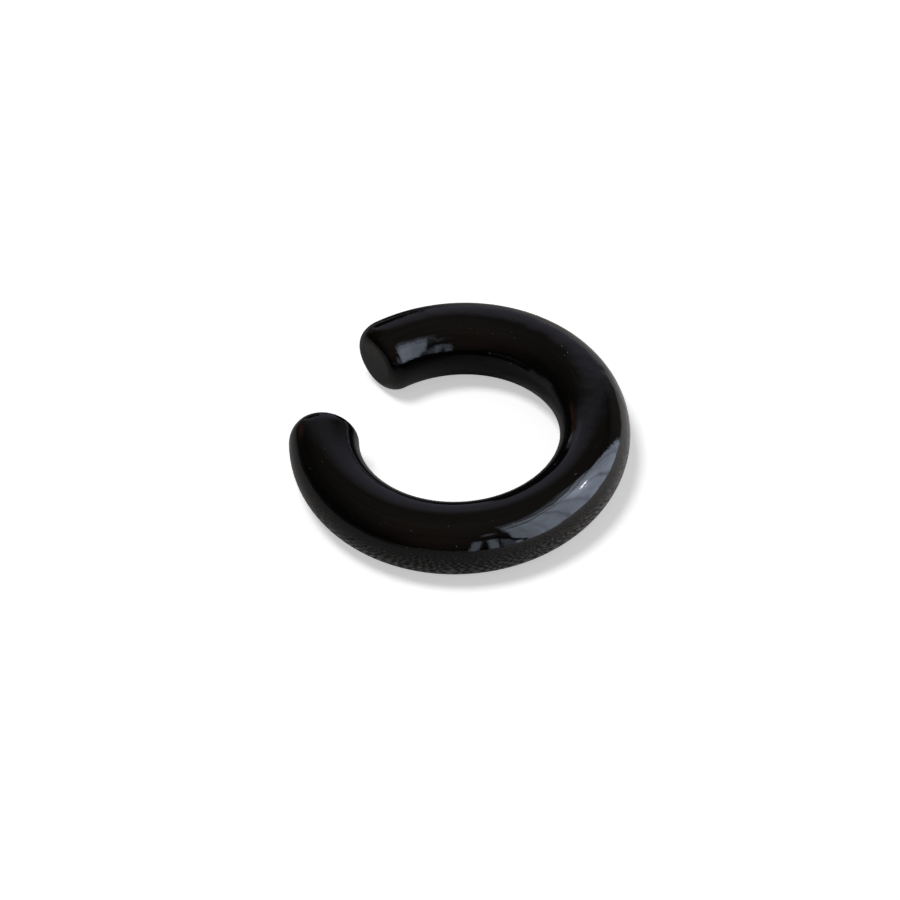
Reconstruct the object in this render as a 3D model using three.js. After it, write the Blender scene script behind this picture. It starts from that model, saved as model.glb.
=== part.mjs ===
// Ear cuff: one open ring of enamelled metal that slips over the rim of an ear.
//
// It lies on its side. +Z is the ring's own axis, the lowest line of the ring touches z = 0, and the
// mouth between its two ends looks along -X. The origin is under the middle of its footprint.
// All lengths are in millimetres and all angles in radians.

import * as THREE from 'three';

// The ring
const outerDiameter = 16.5;
const sectionWidth = 3.4; // from the bore to the outside
const sectionHeight = 3.6; // along the ring's axis
const mouthWidth = 5.0; // between the middles of the two end faces

// The soft rim round each flat end face
const rimLength = 0.88; // how far the rounding runs back along the ring
const rimInset = 0.67; // how far the edge of the face stands in from the ring's surface

// How finely the round surfaces are divided
const sectionSides = 40;
const bendSteps = 84;
const rimSteps = 7;

// Values that follow from the sizes above
const centreRadius = (outerDiameter - sectionWidth) / 2;
const mouthHalfAngle = Math.asin(mouthWidth / 2 / centreRadius);
const endAngle = Math.PI - mouthHalfAngle; // from the middle of the ring's back to an end face
const rimAngle = rimLength / centreRadius;

// The stations of the rim at one end, from the end face back to where the ring has its full section.
// Each has its angle round the ring's axis, and how far the section there is drawn in all round.
// Together they follow a quarter of an ellipse.
function rimStations() {
  const stations = [];
  for (let step = 0; step < rimSteps; step += 1) {
    const turn = (step / rimSteps) * (Math.PI / 2);
    stations.push({
      angle: endAngle - rimAngle * (1 - Math.cos(turn)),
      inset: rimInset * (1 - Math.sin(turn)),
    });
  }
  return stations;
}

// All the stations of the ring, from one end face round its back to the other
function ringStations() {
  const bendEnd = endAngle - rimAngle;
  const bend = [];
  for (let step = 0; step <= bendSteps; step += 1) {
    bend.push({ angle: bendEnd * ((2 * step) / bendSteps - 1), inset: 0 });
  }
  const startRim = rimStations().map(({ angle, inset }) => ({ angle: -angle, inset }));
  const finishRim = rimStations().reverse();
  return [...startRim, ...bend, ...finishRim];
}

// A point in the plane of a station, out from the ring's axis and up from its middle height
function stationPoint(angle, out, up) {
  return [out * Math.cos(angle), out * Math.sin(angle), up];
}

// The oval section at one station, from its outermost point down, round and up again
function sectionPoints({ angle, inset }) {
  const points = [];
  for (let side = 0; side < sectionSides; side += 1) {
    const turn = (side / sectionSides) * 2 * Math.PI;
    const out = centreRadius + (sectionWidth / 2 - inset) * Math.cos(turn);
    const up = -(sectionHeight / 2 - inset) * Math.sin(turn);
    points.push(stationPoint(angle, out, up));
  }
  return points;
}

// The ring as one closed body: a skin from each station to the next, and a flat face on each end
function openRingGeometry() {
  const stations = ringStations();
  const corners = [
    ...stations.flatMap(sectionPoints),
    stationPoint(-endAngle, centreRadius, 0),
    stationPoint(endAngle, centreRadius, 0),
  ];
  const startMiddle = corners.length - 2;
  const finishMiddle = corners.length - 1;
  const corner = (station, side) => station * sectionSides + (side % sectionSides);

  const triangles = [];
  const finish = stations.length - 1;
  for (let side = 0; side < sectionSides; side += 1) {
    for (let station = 0; station < finish; station += 1) {
      const here = corner(station, side);
      const beside = corner(station, side + 1);
      const ahead = corner(station + 1, side);
      const across = corner(station + 1, side + 1);
      triangles.push(here, across, ahead);
      triangles.push(here, beside, across);
    }
    triangles.push(startMiddle, corner(0, side + 1), corner(0, side));
    triangles.push(finishMiddle, corner(finish, side), corner(finish, side + 1));
  }

  const geometry = new THREE.BufferGeometry();
  geometry.setAttribute('position', new THREE.Float32BufferAttribute(corners.flat(), 3));
  geometry.setIndex(triangles);
  geometry.computeVertexNormals();
  return geometry;
}

// Glossy black enamel
const blackEnamel = new THREE.MeshStandardMaterial({
  color: 0x0b0b0d,
  roughness: 0.08,
  metalness: 0,
});

// The ring, resting on z = 0 and moved along X until the origin is under the middle of its footprint
function buildOpenRing() {
  const geometry = openRingGeometry();
  geometry.computeBoundingBox();
  const middle = geometry.boundingBox.getCenter(new THREE.Vector3());
  const ring = new THREE.Mesh(geometry, blackEnamel);
  ring.name = 'open_ring';
  ring.position.set(-middle.x, 0, sectionHeight / 2);
  return ring;
}

const earCuff = new THREE.Group();
earCuff.add(buildOpenRing());

export default earCuff;
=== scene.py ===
# %% [markdown]
# # Ear cuff in black enamel
# The real thing is one open ring of metal under a glossy black enamel, slipped over the rim of an ear.
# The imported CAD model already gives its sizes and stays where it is. This lesson models the ring again
# with a finer surface, gives it its enamel, and sets it on a pale floor under soft studio light.

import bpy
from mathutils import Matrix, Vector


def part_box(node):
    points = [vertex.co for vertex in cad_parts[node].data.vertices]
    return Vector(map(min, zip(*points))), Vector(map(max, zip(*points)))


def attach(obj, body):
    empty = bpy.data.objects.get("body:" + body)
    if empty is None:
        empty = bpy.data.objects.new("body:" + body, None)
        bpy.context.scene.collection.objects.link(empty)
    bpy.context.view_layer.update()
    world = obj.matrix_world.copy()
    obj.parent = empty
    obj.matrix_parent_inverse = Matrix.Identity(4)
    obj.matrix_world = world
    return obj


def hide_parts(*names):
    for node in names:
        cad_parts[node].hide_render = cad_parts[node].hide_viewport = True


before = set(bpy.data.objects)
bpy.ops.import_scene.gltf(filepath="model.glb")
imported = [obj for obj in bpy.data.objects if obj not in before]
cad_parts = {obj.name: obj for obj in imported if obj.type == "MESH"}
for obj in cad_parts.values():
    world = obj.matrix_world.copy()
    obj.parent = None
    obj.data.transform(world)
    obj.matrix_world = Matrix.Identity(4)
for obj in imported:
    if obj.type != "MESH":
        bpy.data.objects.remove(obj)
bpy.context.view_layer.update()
print("CAD nodes:", sorted(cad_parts))

# %% [markdown]
# ## The sizes
# The ring lies on its side with its axis upright, and its mouth looks along -X. Its outer diameter and
# its height can be read from the CAD box. The other sizes don't show in a box, so they are written here
# as a maker would measure them. Blender works in metres, so a millimetre is a named value too.

# %% Read the outer sizes and name the others
import math

import bpy
from mathutils import Matrix, Vector

MM = 0.001
ring_low, ring_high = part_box("open_ring")
outer_diameter = ring_high.y - ring_low.y
section_height = ring_high.z - ring_low.z
section_width = 3.4 * MM
mouth_width = 5.0 * MM  # between the middles of the two end faces
rim_length = 0.88 * MM  # how far the rounding of an end runs back along the ring
rim_inset = 0.67 * MM  # how far the edge of an end face stands in from the ring's surface

middle_height = ring_low.z + section_height / 2
axis_point = Vector((ring_high.x - outer_diameter / 2, 0, middle_height))
centre_radius = (outer_diameter - section_width) / 2
end_angle = math.pi - math.asin(mouth_width / 2 / centre_radius)
rim_angle = rim_length / centre_radius
print(f"ring {outer_diameter / MM:.2f} mm across, its ends {math.degrees(end_angle):.1f} degrees round")

# %% [markdown]
# ## An end face
# The ring could be a torus with a gap cut into it, but then the soft rims would have to be carved. It is
# easier to start at one end, with the flat oval face that the maker files there, and to grow the ring
# out of it. A circle is added upright at the place of that face, and squeezed to the oval.

# %% Add the flat face of one end
section_sides = 96


def section_middle(angle):
    """The middle of the ring's section at an angle round its axis."""
    return axis_point + centre_radius * Vector((math.cos(angle), math.sin(angle), 0))


bpy.ops.object.select_all(action="DESELECT")
bpy.ops.mesh.primitive_circle_add(
    vertices=section_sides,
    radius=section_height / 2 - rim_inset,
    fill_type="NGON",
    location=section_middle(-end_angle),
    rotation=(math.pi / 2, 0, -end_angle),
)
ring = bpy.context.active_object
ring.name = "enamelled_ring"
ring.data.name = "enamelled_ring"
bpy.ops.object.transform_apply(location=True, rotation=True, scale=True)

bpy.ops.object.mode_set(mode="EDIT")
bpy.ops.mesh.select_mode(type="FACE")
bpy.ops.mesh.select_all(action="SELECT")
squeeze = (section_width / 2 - rim_inset) / (section_height / 2 - rim_inset)
bpy.ops.transform.resize(value=(squeeze, squeeze, 1), center_override=section_middle(-end_angle))
print("end face", [round(size / MM, 2) for size in ring.dimensions], "mm")

# %% [markdown]
# ## The soft rim
# The edge round an end face is polished off into a soft rim, longer than it is deep. A bevel would only
# give a round one. So the face is pulled out in short steps, and each step turns it on round the ring's
# axis and lets it grow, along a quarter of an ellipse. With no window transform.rotate turns the other
# way and ignores the pivot setting, which is why the angle is negative and the centre is given.

# %% Grow the rim out of the end face
rim_steps = 14


def rim_station(step):
    """The angle and the inset of the section at one step of the rim."""
    turn = step / rim_steps * math.pi / 2
    return -end_angle + rim_angle * (1 - math.cos(turn)), rim_inset * (1 - math.sin(turn))


for step in range(rim_steps):
    angle, inset = rim_station(step)
    next_angle, next_inset = rim_station(step + 1)
    wider = (section_width / 2 - next_inset) / (section_width / 2 - inset)
    taller = (section_height / 2 - next_inset) / (section_height / 2 - inset)
    bpy.ops.mesh.extrude_region_move()
    bpy.ops.transform.rotate(value=angle - next_angle, orient_axis="Z", center_override=axis_point)
    bpy.ops.transform.resize(value=(wider, wider, taller), center_override=section_middle(next_angle))
print("rim grown in", rim_steps, "steps")

# %% [markdown]
# ## The bend
# From the rim to the middle of its back the ring keeps one section, so this stretch is a spin of the
# face round the ring's axis. Spin leaves its last face selected. It would be a wall inside the finished
# ring, so it is deleted, and the ring stays open where its other half will join.

# %% Spin half of the ring
half_bend_steps = 120
half_bend = end_angle - rim_angle
bpy.ops.mesh.spin(
    steps=half_bend_steps,
    angle=-half_bend,
    center=axis_point,
    axis=(0, 0, 1),
)
bpy.ops.mesh.delete(type="FACE")
bpy.ops.object.mode_set(mode="OBJECT")
print("half a ring of", len(ring.data.polygons), "faces")

# %% [markdown]
# ## Keeping the end face flat
# Smooth shading blends the directions of neighbouring faces, which would make the flat end look domed
# near its edge. Two narrow insets put a frame of flat faces there, and the blend stays inside it.
# Faces are picked in code by their place, here the one whose middle lies in the middle of the end.

# %% Inset the end face
frame_width = 0.03 * MM
frames = 2


def pick_faces(piece, wanted):
    """Selects the faces that the test wants, and no others."""
    bpy.ops.object.mode_set(mode="EDIT")
    bpy.ops.mesh.select_all(action="DESELECT")
    bpy.ops.object.mode_set(mode="OBJECT")
    for face in piece.data.polygons:
        face.select = wanted(face)
    bpy.ops.object.mode_set(mode="EDIT")


pick_faces(ring, lambda face: (face.center - section_middle(-end_angle)).length < frame_width)
for _ in range(frames):
    bpy.ops.mesh.inset(thickness=frame_width, depth=0)
bpy.ops.object.mode_set(mode="OBJECT")
print("faces with more than four corners:", sum(len(face.vertices) > 4 for face in ring.data.polygons))

# %% [markdown]
# ## The other half
# The ring is the same on both sides of its mouth, so the second half is a mirror image. The Mirror
# modifier also welds the seam at the back. A mirrored half is inside out until the normals are
# recalculated, which comes after the doubles are merged.

# %% Mirror, weld and smooth
weld_distance = 0.0001 * MM
mirror = ring.modifiers.new("other half", "MIRROR")
mirror.use_axis = (False, True, False)
mirror.use_clip = True
mirror.merge_threshold = weld_distance
bpy.ops.object.modifier_apply(modifier=mirror.name)

bpy.ops.object.mode_set(mode="EDIT")
bpy.ops.mesh.select_all(action="SELECT")
bpy.ops.mesh.remove_doubles(threshold=weld_distance)
bpy.ops.mesh.normals_make_consistent(inside=False)
bpy.ops.mesh.select_all(action="DESELECT")
bpy.ops.object.mode_set(mode="OBJECT")
bpy.ops.object.shade_smooth()
print("whole ring", [round(size / MM, 2) for size in ring.dimensions], "mm")

# %% [markdown]
# ## Tools for the enamel
# A material is a small machine of nodes. A few helpers keep the recipes short: one adds a node and sets
# its values, one does a sum, one multiplies, one makes a noise of a given grain, one carries a value from
# one range to another, and one blends two colours. All patterns read Object coordinates, moved so that
# they are centred on the ring's axis, and they stay on the ring when it is seen from another side.

# %% Helpers for nodes
noise_low, noise_high = 0.3, 0.7  # a noise stays between these nearly everywhere


def add_node(tree, kind, settings=None, **sockets):
    """Adds a node, sets its settings, and gives each named socket a value or joins an output to it."""
    node = tree.nodes.new(kind)
    for name, value in (settings or {}).items():
        setattr(node, name, value)
    for name, value in sockets.items():
        socket = node.inputs[int(name[1:])] if name[1:].isdigit() else node.inputs[name.replace("_", " ")]
        if isinstance(value, bpy.types.NodeSocket):
            tree.links.new(value, socket)
        else:
            socket.default_value = value
    return node


def math_node(tree, operation, *values):
    """The result of one sum of one, two or three values."""
    sockets = {f"_{number}": value for number, value in enumerate(values)}
    return add_node(tree, "ShaderNodeMath", {"operation": operation}, **sockets).outputs["Value"]


def product(tree, first, *others):
    """Two or more values multiplied."""
    for other in others:
        first = math_node(tree, "MULTIPLY", first, other)
    return first


def noise(tree, place, grain, detail=2.0):
    """A noise whose blotches are about as large as the grain, from 0 to 1."""
    node = add_node(tree, "ShaderNodeTexNoise", Vector=place, Scale=1 / grain, Detail=detail)
    return node.outputs["Fac"]


def spread(tree, value, low, high, to_low, to_high):
    """Carries a value from one range to another, and holds it inside the new range."""
    node = add_node(
        tree,
        "ShaderNodeMapRange",
        Value=value,
        From_Min=low,
        From_Max=high,
        To_Min=to_low,
        To_Max=to_high,
    )
    return node.outputs["Result"]


def blend_colours(tree, share, first, second):
    """One colour where the share is 0, turning into another where it is 1."""
    node = add_node(tree, "ShaderNodeMix", {"data_type": "RGBA"}, Factor=share, _6=first, _7=second)
    return node.outputs[2]


print("a noise stays between", noise_low, "and", noise_high)

# %% [markdown]
# ## Black enamel
# The real coat is glass-like: a black body with a clear, polished skin that mirrors the room. One
# Principled shader holds both, the body as its base and the skin as its coat. The body is satin and
# almost without gloss of its own, so that the highlights come from the skin alone, sharp and calm.

# %% Mix the enamel
deep_black = (0.0002, 0.0002, 0.0002, 1)
soft_black = (0.0007, 0.0006, 0.0006, 1)
black_patches = 2.5 * MM  # how large the patches of each black are
satin_low, satin_high = 0.26, 0.38
satin_patches = 0.9 * MM

enamel = bpy.data.materials.new("black enamel")
enamel.use_nodes = True
tree = enamel.node_tree
tree.nodes.clear()
place = add_node(
    tree,
    "ShaderNodeMapping",
    Vector=add_node(tree, "ShaderNodeTexCoord").outputs["Object"],
    Location=-axis_point,
).outputs["Vector"]

body_colour = blend_colours(tree, noise(tree, place, black_patches), deep_black, soft_black)
body_roughness = spread(
    tree, noise(tree, place, satin_patches), noise_low, noise_high, satin_low, satin_high
)
enamel_shader = add_node(
    tree,
    "ShaderNodeBsdfPrincipled",
    Base_Color=body_colour,
    Roughness=body_roughness,
    Specular_IOR_Level=0.01,
    Coat_Weight=1.0,
    Coat_Roughness=0.03,
    Coat_IOR=1.5,
)
add_node(tree, "ShaderNodeOutputMaterial", Surface=enamel_shader.outputs["BSDF"])
ring.data.materials.clear()
ring.data.materials.append(enamel)
print("enamel nodes:", len(tree.nodes))

# %% [markdown]
# ## The waviness of the coat
# Baked enamel flows a little before it sets, so a straight reflection wanders as it crosses the ring. In
# the photo it wanders most on the far arm, where a fine grain, like the skin of an orange, also softens
# it. Polishing leaves faint lines that run round the ring. All three are far too shallow to model, a few
# hundredths of a millimetre, so they are bump, and the lines also hold a trace of haze. The lines need a
# coordinate that follows the ring: the distance from its axis, the angle round it, squeezed so that a
# line stays long, and the height.

# %% Lay a coordinate round the ring
line_length = 9.0 * MM  # how long a line is in the noise that draws it
line_width = 0.16 * MM

coordinates = add_node(tree, "ShaderNodeSeparateXYZ", Vector=place).outputs
angle_round = math_node(tree, "ARCTAN2", coordinates["Y"], coordinates["X"])
from_axis = add_node(
    tree,
    "ShaderNodeVectorMath",
    {"operation": "LENGTH"},
    _0=add_node(tree, "ShaderNodeCombineXYZ", X=coordinates["X"], Y=coordinates["Y"]).outputs["Vector"],
).outputs["Value"]
round_place = add_node(
    tree,
    "ShaderNodeCombineXYZ",
    X=from_axis,
    Y=product(tree, angle_round, centre_radius * line_width / line_length),
    Z=coordinates["Z"],
).outputs["Vector"]
print("lines", line_length / MM, "mm long and", line_width / MM, "mm wide")

# %% Add flow and polishing lines
flow_grain = 1.1 * MM
flow_depth = 0.06 * MM
calm_share = 0.2  # how wavy the near arm is, next to the far one
calm_until = 6 * MM  # how far behind the ring's axis the waviness is full
peel_grain = 0.07 * MM
peel_share = 0.08  # how deep the fine grain is, next to the flow
line_depth = 0.003 * MM
haze_colour = (0.0030, 0.0028, 0.0028, 1)
haze_grain = 0.7 * line_width
haze_from, haze_full = 0.45, 0.75  # the noise at which haze begins, and at which it is full

flow_noise = noise(tree, place, flow_grain, detail=1.5)
flow = add_node(
    tree,
    "ShaderNodeBump",
    Height=math_node(tree, "MULTIPLY_ADD", noise(tree, place, peel_grain), peel_share, flow_noise),
    Strength=spread(tree, coordinates["Y"], 0, calm_until, calm_share, 1),
    Distance=flow_depth,
)
lines = add_node(
    tree,
    "ShaderNodeBump",
    Height=noise(tree, round_place, line_width),
    Strength=1.0,
    Distance=line_depth,
    Normal=flow.outputs["Normal"],
)
line_haze = spread(tree, noise(tree, round_place, haze_grain), haze_from, haze_full, 0, 1)
body_colour = blend_colours(tree, line_haze, body_colour, haze_colour)
tree.links.new(flow.outputs["Normal"], enamel_shader.inputs["Normal"])
tree.links.new(lines.outputs["Normal"], enamel_shader.inputs["Coat Normal"])
print("flow", flow_depth / MM, "mm deep, lines", line_depth / MM, "mm deep")

# %% [markdown]
# ## Dust
# A black mirror shows every grain of dust, and without any it looks computed. A Voronoi pattern puts one
# point in each cell of space. Where such a point lies close enough under the surface, a pale grain is
# drawn. Its size follows the random number of its cell, so many cells stay bare, and a wide noise lets
# the dust gather in patches. Stretching the coordinates turns the same grains into short bits of lint.

# %% Scatter dust and lint
dust_colour = (0.17, 0.165, 0.16, 1)
dust_kinds = (
    # cell, largest grain, how much longer than wide, and how it is turned
    (0.22 * MM, 0.023 * MM, 1.0, (0, 0, 0)),
    (0.40 * MM, 0.023 * MM, 6.0, (0.4, 0.9, 0.3)),
    (0.45 * MM, 0.022 * MM, 7.0, (-0.7, 0.2, 1.4)),
)
bare_share = 0.45  # of all cells
patch_size = 3 * MM
patch_from, patch_full = 0.4, 0.6  # the noise at which a patch begins, and at which it is full
between_patches = 0.3  # how large a grain is between patches, next to one inside


def grains(tree, place, cell, largest, stretch, turn):
    """1 on a grain of dust, and 0 beside it."""
    stretched = add_node(
        tree,
        "ShaderNodeMapping",
        {"vector_type": "TEXTURE"},
        Vector=place,
        Rotation=turn,
        Scale=(stretch, 1, 1),
    ).outputs["Vector"]
    cells = add_node(tree, "ShaderNodeTexVoronoi", Vector=stretched, Scale=1 / cell)
    chance = add_node(tree, "ShaderNodeSeparateColor", Color=cells.outputs["Color"]).outputs["Red"]
    size = spread(tree, chance, bare_share, 1, 0, largest / cell)
    patches = spread(tree, noise(tree, place, patch_size), patch_from, patch_full, between_patches, 1)
    return math_node(tree, "LESS_THAN", cells.outputs["Distance"], product(tree, size, patches))


for kind in dust_kinds:
    body_colour = blend_colours(tree, grains(tree, place, *kind), body_colour, dust_colour)
tree.links.new(body_colour, enamel_shader.inputs["Base Color"])
print("kinds of dust:", len(dust_kinds))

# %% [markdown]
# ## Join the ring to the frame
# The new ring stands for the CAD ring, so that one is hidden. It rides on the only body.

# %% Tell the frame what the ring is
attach(ring, "root")
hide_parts("open_ring")
print("ring rides on root")

# %% [markdown]
# ## The camera
# The picture is taken from above, a little more than halfway up from level, through a long lens that
# makes near and far look alike. The camera is placed by its angles round the ring, aimed close to the
# ring's middle, and rolled a few degrees.

# %% Place the camera
camera_azimuth = math.radians(31.407)  # turned round from looking along +Y
camera_elevation = math.radians(47.262)
camera_roll = math.radians(3.7475)
camera_distance = 696.8 * MM
focal_length = 577.5  # in millimetres, as is the sensor's width
sensor_width = 36
aim_right = -0.4598 * MM
aim_up = -0.5934 * MM
nearest_seen = 10 * MM
farthest_seen = 20.0

level_right = Vector((math.cos(camera_azimuth), math.sin(camera_azimuth), 0))
towards_camera = Vector((
    math.sin(camera_azimuth) * math.cos(camera_elevation),
    -math.cos(camera_azimuth) * math.cos(camera_elevation),
    math.sin(camera_elevation),
))
level_up = towards_camera.cross(level_right)
picture_right = level_right * math.cos(camera_roll) - level_up * math.sin(camera_roll)
picture_up = level_right * math.sin(camera_roll) + level_up * math.cos(camera_roll)
aim = axis_point + aim_right * picture_right + aim_up * picture_up

bpy.ops.object.select_all(action="DESELECT")
bpy.ops.object.camera_add()
camera = bpy.context.active_object
camera.name = "camera"
camera.data.lens = focal_length
camera.data.sensor_width = sensor_width
camera.data.clip_start = nearest_seen
camera.data.clip_end = farthest_seen
turned = Matrix((picture_right, picture_up, towards_camera)).transposed()
camera.matrix_world = Matrix.Translation(aim + camera_distance * towards_camera) @ turned.to_4x4()
bpy.context.scene.camera = camera
print("camera at", [round(value, 3) for value in camera.matrix_world.translation])

# %% [markdown]
# ## Directions and light
# What the ring mirrors is placed by its direction. A direction is given as two angles, because a
# highlight is easiest to place that way: how far round it is, from straight away from the camera to
# the right, and how high. More helpers tell how far a vector points towards a direction, let a value
# rise smoothly, blend two values, and add light to light.

# %% Helpers for directions and light


def direction(azimuth, elevation=0.0):
    """A direction by its angle from straight away from the camera, round to the right, and its height."""
    turned_azimuth = azimuth - camera_azimuth
    return Vector((
        math.sin(turned_azimuth) * math.cos(elevation),
        math.cos(turned_azimuth) * math.cos(elevation),
        math.sin(elevation),
    ))


def new_material(name):
    """A material with an empty node tree."""
    material = bpy.data.materials.new(name)
    material.use_nodes = True
    material.node_tree.nodes.clear()
    return material


def dot_with(tree, vector, towards):
    """How far a vector points towards a direction."""
    node = add_node(tree, "ShaderNodeVectorMath", {"operation": "DOT_PRODUCT"}, _0=vector, _1=towards)
    return node.outputs["Value"]


def smooth_rise(tree, value, start, end):
    """0 up to a start, 1 from an end on, and smooth between them."""
    node = add_node(
        tree,
        "ShaderNodeMapRange",
        {"interpolation_type": "SMOOTHSTEP"},
        Value=value,
        From_Min=start,
        From_Max=end,
    )
    return node.outputs["Result"]


def blend_values(tree, share, first, second):
    """One value where the share is 0, turning into another where it is 1."""
    node = add_node(tree, "ShaderNodeMix", {"data_type": "FLOAT"}, _0=share, _2=first, _3=second)
    return node.outputs[0]


def add_light(tree, total, strength, colour):
    """Adds a colour, as strong as a value says, to a total."""
    strengths = add_node(tree, "ShaderNodeCombineXYZ", X=strength, Y=strength, Z=strength).outputs["Vector"]
    node = add_node(
        tree, "ShaderNodeVectorMath", {"operation": "MULTIPLY_ADD"}, _0=strengths, _1=colour, _2=total
    )
    return node.outputs["Vector"]


straight_away = 0.0
rightwards = math.radians(90)
print("to the right is", [round(value, 2) for value in direction(rightwards)])

# %% [markdown]
# ## Grey card
# A black mirror shows its surroundings more than itself, and a white floor would light up the ring's whole
# lower half. Photographers lay grey card just outside the picture for this. Here the floor does it by
# itself: rays that come from a mirror see grey card, and the camera sees white paper. The card's grey holds
# painted light and shade: it is painted lighter on the side of the large light and by the right arm, as if
# lit, and painted darker close to the ring, inside it and under its far arm, as shade. It is also darker
# behind the ring, and black where the black card stands. On the left it fades out a little way off, and on
# the right it ends there, so that mirrors see the large light right down to the card's edge. Each change of
# grey is one ramp, and the ramps are multiplied and blended.

# %% Choose the greys of the card, with its painted light and shade
card_ramps = {
    # name: what it runs along, its two ends in millimetres, and its values there
    # painted light: together these two make the card lighter towards the large light on the right
    "left": ("to the right", -18, 0, 0.14, 0.17),
    "right": ("to the right", 0, 20, 0, 0.37),
    "behind the ring": ("away", 5, 13, 1, 0.6),
    # painted shade: the card darker close to the ring
    "painted shade close to the ring": ("from the axis", 6, 10, 0.6, 1),
    "out of the ring": ("from the axis", 6, 6.6, 0, 1),
    # painted shade: the card darker inside the ring
    "inside": ("away", -1, 3, 0.09, 0.14),
    "inside, on the right": ("to the right", -2, 1.5, 1, 0.4),
    # painted light: the card lighter by the right arm
    "by the right arm": ("to the right", 1.5, 3, 0, 0.018),
    "by the right arm, far half": ("away", 0, 2, 0, 1),
    # painted shade: the card darker under the far arm
    "under the far arm": ("away", 4, 5.2, 0, 1),
    "under the far arm, on the right": ("to the right", -2, 0, 0, 0.6),
    "black": ("towards the black card", 5.4, 6.4, 0, 1),
    "left end of the black": ("to the right", -6.2, -5.2, 0, 1),
    "right end of the black": ("to the right", -3, 0, 1, 0),
    "far off": ("from the axis", 24, 30, 0, 1),
}
black_azimuth = math.radians(14)
black_grey = 0.012
far_azimuth = math.radians(-85)
far_from, far_full = 0.35, 0.75  # the far grey begins, and is full, at angles of these cosines to it
far_grey = 0.02


def card_grey_with_painted_light_and_shade(tree, place, from_axis, outward):
    """The grey of the card at a place on the floor, with painted light and painted shade in it."""
    along = {
        "to the right": dot_with(tree, place, direction(rightwards)),
        "away": dot_with(tree, place, direction(straight_away)),
        "from the axis": from_axis,
        "towards the black card": dot_with(tree, place, direction(black_azimuth)),
    }
    ramps = {
        name: spread(tree, along[runs_along], start * MM, end * MM, first, last)
        for name, (runs_along, start, end, first, last) in card_ramps.items()
    }
    # outside the ring: painted light towards the right, and painted shade close to the ring
    outside = math_node(tree, "ADD", ramps["left"], ramps["right"])
    outside = product(tree, outside, ramps["behind the ring"], ramps["painted shade close to the ring"])

    # inside the ring: painted shade
    inside = product(tree, ramps["inside"], ramps["inside, on the right"])
    # painted light by the right arm
    painted_light_by_right_arm = product(tree, ramps["by the right arm"], ramps["by the right arm, far half"])
    inside = math_node(tree, "ADD", inside, painted_light_by_right_arm)
    # painted shade under the far arm
    shade = product(tree, ramps["under the far arm"], ramps["under the far arm, on the right"])
    inside = blend_values(tree, shade, inside, 0)
    grey = blend_values(tree, ramps["out of the ring"], inside, outside)

    black_ends = product(tree, ramps["left end of the black"], ramps["right end of the black"])
    grey = blend_values(tree, product(tree, ramps["black"], black_ends), grey, black_grey)
    far_side = spread(tree, dot_with(tree, outward, direction(far_azimuth)), far_from, far_full, 0, 1)
    return blend_values(tree, product(tree, ramps["far off"], far_side), grey, far_grey)


print("ramps in the card:", len(card_ramps))

# %% [markdown]
# ## The face of the card
# A smooth card would show in the ring as a plain grey band. A woven face breaks that band up into a fine
# net, as in the photo. The face is woven at the front and smooth behind.

# %% Weave the face of the card
weave_across = 0.5 * MM  # the repeat of the weave from left to right
weave_away = 1.1 * MM  # and away from the camera
weave_contrast = 0.8
stray = 0.25 * MM  # how far a thread strays to either side
stray_length = 1.5 * MM
thread_grain = 0.28 * MM
thread_low, thread_high = 0.35, 0.65  # the noise that makes a thread darkest, and lightest
thread_dark, thread_light = 0.5, 1.5
smooth_ramps = (
    # which way, its two ends in millimetres, and how smooth the face is there
    (straight_away, -4, 3, 0, 1),
    (rightwards, 0, 4, 1, 0.4),
)


def wave(tree, value, length):
    """A wave of a given length along a value, from -1 to 1."""
    return math_node(tree, "SINE", product(tree, value, 2 * math.pi / length))


def weave(tree, place):
    """The woven face of the card, lighter and darker round 1."""
    strays = spread(tree, noise(tree, place, stray_length), noise_low, noise_high, -stray, stray)
    to_right = math_node(tree, "ADD", dot_with(tree, place, direction(rightwards)), strays)
    away = math_node(tree, "ADD", dot_with(tree, place, direction(straight_away)), strays)
    checks = product(tree, wave(tree, to_right, weave_across), wave(tree, away, weave_away))
    woven = spread(tree, checks, -1, 1, 1 - weave_contrast, 1 + weave_contrast)
    thread_noise = noise(tree, place, thread_grain, detail=3.0)
    threads = spread(tree, thread_noise, thread_low, thread_high, thread_dark, thread_light)

    smooth = 1.0
    for azimuth, start, end, first, last in smooth_ramps:
        way = dot_with(tree, place, direction(azimuth))
        smooth = product(tree, spread(tree, way, start * MM, end * MM, first, last), smooth)
    return blend_values(tree, smooth, product(tree, woven, threads), 1)


print("weave", weave_across / MM, "by", weave_away / MM, "mm")

# %% [markdown]
# ## The floor
# A wide sheet of white paper, lit from above and a little from below, as on a light table, so that the
# ring's shadow stays light. The Light Path node tells which rays come from a mirror, and those see the
# card. Past the card's end on the right they go through the floor and see the room below.

# %% Lay the floor
floor_size = 8.0
paper_colour = (0.86, 0.86, 0.86, 1)
paper_glow = 0.56
card_tint = (1.04, 1.0, 0.98)
card_end = 36 * MM
card_end_azimuth = math.radians(105)
card_end_from = 0.3  # the card ends within the angle of this cosine to it

bpy.ops.object.select_all(action="DESELECT")
bpy.ops.mesh.primitive_plane_add(size=floor_size)
floor = bpy.context.active_object
floor.name = "floor"
paper = new_material("floor paper")
tree = paper.node_tree
floor_place = add_node(
    tree,
    "ShaderNodeMapping",
    Vector=add_node(tree, "ShaderNodeTexCoord").outputs["Object"],
    Location=(-axis_point.x, 0, 0),
).outputs["Vector"]
from_axis = add_node(tree, "ShaderNodeVectorMath", {"operation": "LENGTH"}, _0=floor_place).outputs["Value"]
outward = add_node(
    tree, "ShaderNodeVectorMath", {"operation": "NORMALIZE"}, _0=floor_place
).outputs["Vector"]
in_mirror = add_node(tree, "ShaderNodeLightPath").outputs["Is Glossy Ray"]
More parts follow.
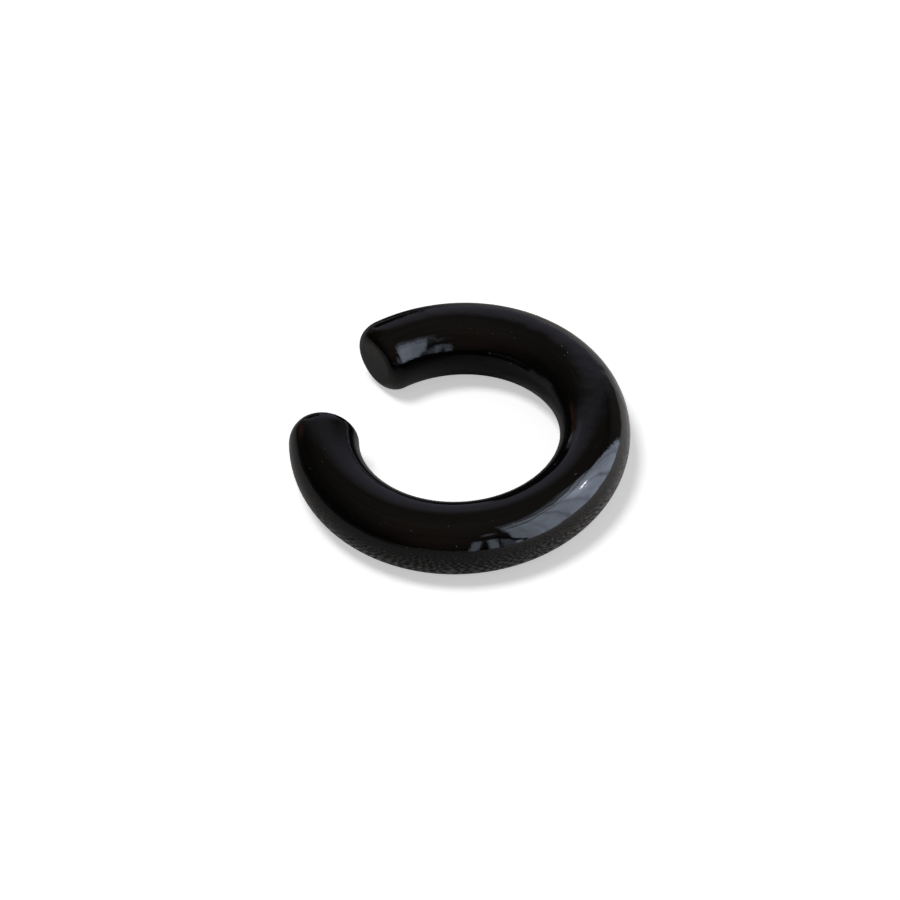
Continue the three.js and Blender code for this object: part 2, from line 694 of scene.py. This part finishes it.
# the card's grey carries painted light and painted shade
grey = product(tree, card_grey_with_painted_light_and_shade(tree, floor_place, from_axis, outward), weave(tree, floor_place))
card_colour = add_light(tree, (0, 0, 0), grey, card_tint)
tone = blend_colours(tree, in_mirror, paper_colour, card_colour)
lit_from_above = add_node(tree, "ShaderNodeBsdfDiffuse", Color=tone)
lit_from_below = add_node(tree, "ShaderNodeEmission", Color=tone, Strength=paper_glow)
both = add_node(
    tree, "ShaderNodeAddShader", _0=lit_from_above.outputs["BSDF"], _1=lit_from_below.outputs["Emission"]
)

to_end = dot_with(tree, outward, direction(card_end_azimuth))
past_card = product(
    tree,
    in_mirror,
    math_node(tree, "GREATER_THAN", from_axis, card_end),
    math_node(tree, "GREATER_THAN", to_end, card_end_from),
)
with_end = add_node(
    tree,
    "ShaderNodeMixShader",
    _0=past_card,
    _1=both.outputs["Shader"],
    _2=add_node(tree, "ShaderNodeBsdfTransparent").outputs["BSDF"],
)
add_node(tree, "ShaderNodeOutputMaterial", Surface=with_end.outputs["Shader"])
floor.data.materials.append(paper)
print("floor", floor_size, "m wide")

# %% [markdown]
# ## The room
# The world gives the floor an even fill. The ring's mirror would show that as a flat grey, so mirrors
# see a dark room instead: almost black at the horizon, warm grey at the ceiling, with a wide cool glow
# on the far wall and a few small ones. A glow is a soft round patch round a direction.

# %% Set up the room
fill_light = 0.22
horizon_light = 0.008
ceiling_light = 0.120
ceiling_climb = 1.7  # above 1, the light of the ceiling comes up late
warm_grey = (1.12, 1.00, 0.84)
white = (1, 1, 1, 1)
glows = (
    # azimuth, elevation, full within, gone beyond, in degrees, and colour
    (-2, 13, 18, 46, (0.235, 0.23, 0.305)),
    (-26, 24, 3, 10, (0.08, 0.08, 0.10)),
    (50, 8, 4, 22, (0.08, 0.075, 0.07)),
    (165.5, 41, 1, 4.5, (0.60, 0.62, 0.72)),
    (-165, 16, 4, 30, (0.050, 0.038, 0.034)),
    (-150, 46, 10, 50, (0.037, 0.022, 0.019)),
)


def soft_patch(tree, vector, azimuth, elevation, full, gone):
    """1 near a direction, fading to 0 away from it."""
    closeness = dot_with(tree, vector, direction(math.radians(azimuth), math.radians(elevation)))
    return smooth_rise(tree, closeness, math.cos(math.radians(gone)), math.cos(math.radians(full)))


world = bpy.data.worlds.new("room")
bpy.context.scene.world = world
world.use_nodes = True
tree = world.node_tree
tree.nodes.clear()
view = add_node(tree, "ShaderNodeTexCoord").outputs["Generated"]
height = math_node(tree, "MAXIMUM", add_node(tree, "ShaderNodeSeparateXYZ", Vector=view).outputs["Z"], 0)
climb = math_node(tree, "POWER", height, ceiling_climb)
room_colour = add_light(tree, (0, 0, 0), spread(tree, climb, 0, 1, horizon_light, ceiling_light), warm_grey)
for azimuth, elevation, full, gone, colour in glows:
    patch = soft_patch(tree, view, azimuth, elevation, full, gone)
    room_colour = add_light(tree, room_colour, patch, colour)
dark_room = add_node(tree, "ShaderNodeBackground", Color=room_colour)
even_fill = add_node(tree, "ShaderNodeBackground", Color=white, Strength=fill_light)
pale_wall = add_node(tree, "ShaderNodeBackground", Color=white)
path = add_node(tree, "ShaderNodeLightPath")
mirror_or_fill = add_node(
    tree,
    "ShaderNodeMixShader",
    _0=path.outputs["Is Glossy Ray"],
    _1=even_fill.outputs["Background"],
    _2=dark_room.outputs["Background"],
)
seen = add_node(
    tree,
    "ShaderNodeMixShader",
    _0=path.outputs["Is Camera Ray"],
    _1=mirror_or_fill.outputs["Shader"],
    _2=pale_wall.outputs["Background"],
)
add_node(tree, "ShaderNodeOutputWorld", Surface=seen.outputs["Shader"])
print("fill light", fill_light, "and", len(glows), "glows")

# %% [markdown]
# ## The key light
# A soft light high on the left. It lays a narrow soft shadow along the ring's lower and right sides. It
# is kept out of mirrors, because what the ring mirrors is the side light.

# %% Hang the key light
key_azimuth = math.radians(-90)
key_elevation = math.radians(76)
key_width = math.radians(19)  # the wider, the softer its shadow
key_strength = 1.55
bpy.ops.object.light_add(type="SUN")
key = bpy.context.active_object
key.name = "key light"
key.data.energy = key_strength
key.data.angle = key_width
key.rotation_euler = direction(key_azimuth, key_elevation).to_track_quat("Z", "Y").to_euler()
key.visible_glossy = False
print("key light", key.data.energy)

# %% [markdown]
# ## Glowing sheets
# What gives black enamel its form are the large bright shapes that it mirrors. Each is a glowing sheet
# that only mirrors can see, clear apart from its glow, so that a smaller one can hang before a larger. A
# card is such a sheet that also hides what is behind it. The corners of a sheet are given as directions
# from the ring. Its own UV map carries the rest: it fades towards its edges, folds with fine creases
# hang down it, and dark rails run across it.

# %% Helpers for the light of a sheet
crease_width = 0.03  # of the sheet's width
crease_length = 0.15  # how the creases are squeezed upwards, so that each hangs long
crease_dark, crease_light = 0.84, 1.12


def faded(tree, on_sheet, fades):
    """1 on a sheet, with a fade to 0 at its left, right, lower and upper edge."""
    cover = 1.0
    edges = (("X", 0), ("X", 1), ("Y", 0), ("Y", 1))
    for (axis, edge), fade in zip(edges, fades):
        if fade:
            cover = product(tree, smooth_rise(tree, on_sheet[axis], edge, abs(edge - fade)), cover)
    return cover


def folded(tree, on_sheet, folds):
    """The light of hanging folds, each given by its place across the sheet and its brightness."""
    ramp = add_node(tree, "ShaderNodeValToRGB", Fac=on_sheet["X"])
    stops = ramp.color_ramp.elements
    while len(stops) < len(folds):
        stops.new(0.5)
    for stop, (place_across, light) in zip(stops, folds):
        stop.position = place_across
        stop.color = (light, light, light, 1)
    hanging = add_node(tree, "ShaderNodeCombineXYZ", X=on_sheet["X"], Y=on_sheet["Y"]).outputs["Vector"]
    narrowed = add_node(tree, "ShaderNodeMapping", Vector=hanging, Scale=(1, crease_length, 1))
    creases = noise(tree, narrowed.outputs["Vector"], crease_width, detail=3.0)
    creases = spread(tree, creases, noise_low, noise_high, crease_dark, crease_light)
    return product(tree, ramp.outputs["Color"], creases)


def railed(tree, on_sheet, rails):
    """The share of light past dark rails, each given by its height, half its width and its share."""
    share = 1.0
    for rail_height, half_width, light in rails:
        beside = math_node(tree, "ABSOLUTE", math_node(tree, "SUBTRACT", on_sheet["Y"], rail_height))
        share = product(tree, spread(tree, beside, half_width / 2, half_width, light, 1), share)
    return share


print("creases", crease_width, "of a sheet wide")

# %% Helpers for hanging a sheet
sheet_distance = 0.9
sheet_steps = 16


def mix(low, high, share):
    """A value between two others."""
    return low + (high - low) * share


def stretch_sheet(name, corners, distance):
    """A grid between four directions: bottom left and right, then top left and right, in degrees."""
    bpy.ops.object.select_all(action="DESELECT")
    bpy.ops.mesh.primitive_grid_add(x_subdivisions=sheet_steps, y_subdivisions=sheet_steps, size=1)
    sheet = bpy.context.active_object
    sheet.name = name
    bottom_left, bottom_right, top_left, top_right = (Vector(corner) for corner in corners)
    for vertex in sheet.data.vertices:
        across = vertex.co.x + 0.5
        up = vertex.co.y + 0.5
        bottom = mix(bottom_left, bottom_right, across)
        azimuth, elevation = mix(bottom, mix(top_left, top_right, across), up)
        vertex.co = distance * direction(math.radians(azimuth), math.radians(elevation))
    return sheet


def hang_sheet(
    name,
    corners,
    colour,
    strength,
    fades=(0, 0, 0, 0),
    folds=(),
    rails=(),
    distance=sheet_distance,
    hides=False,
):
    """A glowing sheet that only mirrors see. One that hides is a card."""
    sheet = stretch_sheet(name, corners, distance)
    material = new_material(name)
    tree = material.node_tree
    uv_place = add_node(tree, "ShaderNodeTexCoord").outputs["UV"]
    on_sheet = add_node(tree, "ShaderNodeSeparateXYZ", Vector=uv_place).outputs
    cover = faded(tree, on_sheet, fades)
    brightness = product(tree, strength, cover)
    if folds:
        brightness = product(tree, brightness, folded(tree, on_sheet, folds))
    if rails:
        brightness = product(tree, brightness, railed(tree, on_sheet, rails))
    glow = add_node(tree, "ShaderNodeEmission", Color=(*colour, 1), Strength=brightness)
    clear = add_node(tree, "ShaderNodeBsdfTransparent")
    if hides:
        tree.links.new(math_node(tree, "SUBTRACT", 1, cover), clear.inputs["Color"])
    both = add_node(tree, "ShaderNodeAddShader", _0=glow.outputs["Emission"], _1=clear.outputs["BSDF"])
    add_node(tree, "ShaderNodeOutputMaterial", Surface=both.outputs["Shader"])
    sheet.data.materials.append(material)
    sheet.visible_camera = False
    sheet.visible_diffuse = False
    sheet.visible_shadow = False


print("sheets hang", sheet_distance, "m off")

# %% [markdown]
# ## The side light
# A wide soft light on the right, with folds down its screen and two rails near its top, makes the long
# highlight on the ring. A brighter core gives it a middle, and a small glint is the lamp itself.

# %% Hang the side light
cool_white = (0.80, 0.91, 1.11)
pure_white = (1, 1, 1)
light_left, light_right = 62, 152  # the azimuths of the sheet's lower corners
light_stripes = (
    # azimuth at the sheet's lower edge, and brightness
    (62, 0.75),
    (64, 0.90),
    (65, 0.55),
    (66, 0.88),
    (67.5, 0.36),
    (69.5, 0.90),
    (72, 0.76),
    (74, 0.92),
    (80, 0.92),
    (82.5, 0.48),
    (85, 0.90),
    (98, 0.98),
    (101.5, 0.60),
    (103.5, 0.88),
    (113, 0.84),
    (116.5, 0.48),
    (119, 0.80),
    (128, 0.78),
    (131, 0.62),
    (134, 0.76),
    (141, 0.55),
    (152, 0.60),
)
light_folds = [
    ((azimuth - light_left) / (light_right - light_left), light) for azimuth, light in light_stripes
]
light_rails = (
    # height on the sheet, half width, and share of light
    (0.74, 0.03, 0.4),
    (0.86, 0.03, 0.3),
)
light_strength = 3.9
core_strength = 2.2
core_distance = 0.88
glint_strength = 22
glint_distance = 0.86
hang_sheet(
    "side_light",
    ((light_left, -6), (light_right, -6), (74.5, 64), (157, 64)),
    cool_white,
    light_strength,
    fades=(0.02, 0.03, 0, 0.27),
    folds=light_folds,
    rails=light_rails,
)
hang_sheet(
    "side_light_core",
    ((80, 14), (106, 14), (82, 54), (108, 54)),
    cool_white,
    core_strength,
    fades=(0.4, 0.4, 0.5, 0.4),
    distance=core_distance,
)
hang_sheet(
    "glint",
    ((88, 33), (94.5, 33), (88, 35.5), (94.5, 35.5)),
    pure_white,
    glint_strength,
    distance=glint_distance,
)
print("side light with", len(light_stripes), "stripes")

# %% [markdown]
# ## Strips and cards
# Beside the large light hang narrow strips, which make the short bright marks at the front of the ring.
# The black bar parts them from the large light. The black card cuts the far wall's glow off in a crisp
# line along the ring's inner edge, and the brown card beside it gives the brown touches at the left end
# and inside the right arm.

# %% Hang the strips and the cards
warm_white = (1, 0.95, 0.9)
black = (0, 0, 0)
brown = (0.13, 0.066, 0.042)
strip_fades = (0.3, 0.3, 0.1, 0.2)
card_fades = (0.1, 0.1, 0, 0.12)
soft_fades = (0.3, 0.15, 0, 0.3)
bar_distance = 0.85
strips = (
    # name, corners, colour, and strength
    ("strip_near", ((160.5, -5), (167, -5), (161.5, 28), (168, 28)), cool_white, 1.6),
    ("strip_far", ((173, -5), (180, -5), (169, 28), (176, 28)), cool_white, 1.3),
    ("strip_dim", ((147, -5), (161, -5), (158, 24), (161, 24)), cool_white, 0.65),
    ("strip_edge", ((-30, -3), (-28, -3), (-30.5, 10), (-28.5, 10)), warm_white, 0.4),
)
cards = (
    # name, corners, colour, fades, and distance
    ("black_bar", ((142.5, -4), (147, -4), (161.5, 32), (165, 32)), black, card_fades, bar_distance),
    ("black_card", ((-28, -4), (-1, -4), (-26, 19), (-4, 19)), black, card_fades, sheet_distance),
    ("brown_card", ((-55, -4), (-29, -4), (-53, 20), (-31, 20)), brown, soft_fades, sheet_distance),
)
for name, corners, colour, strength in strips:
    hang_sheet(name, corners, colour, strength, strip_fades)
for name, corners, colour, fades, distance in cards:
    hang_sheet(name, corners, colour, 1, fades, distance=distance, hides=True)
print("strips and cards:", len(strips) + len(cards))

# %% [markdown]
# ## Finish
# The picture keeps its plain tones with the Standard view.

bpy.context.scene.view_settings.view_transform = "Standard"
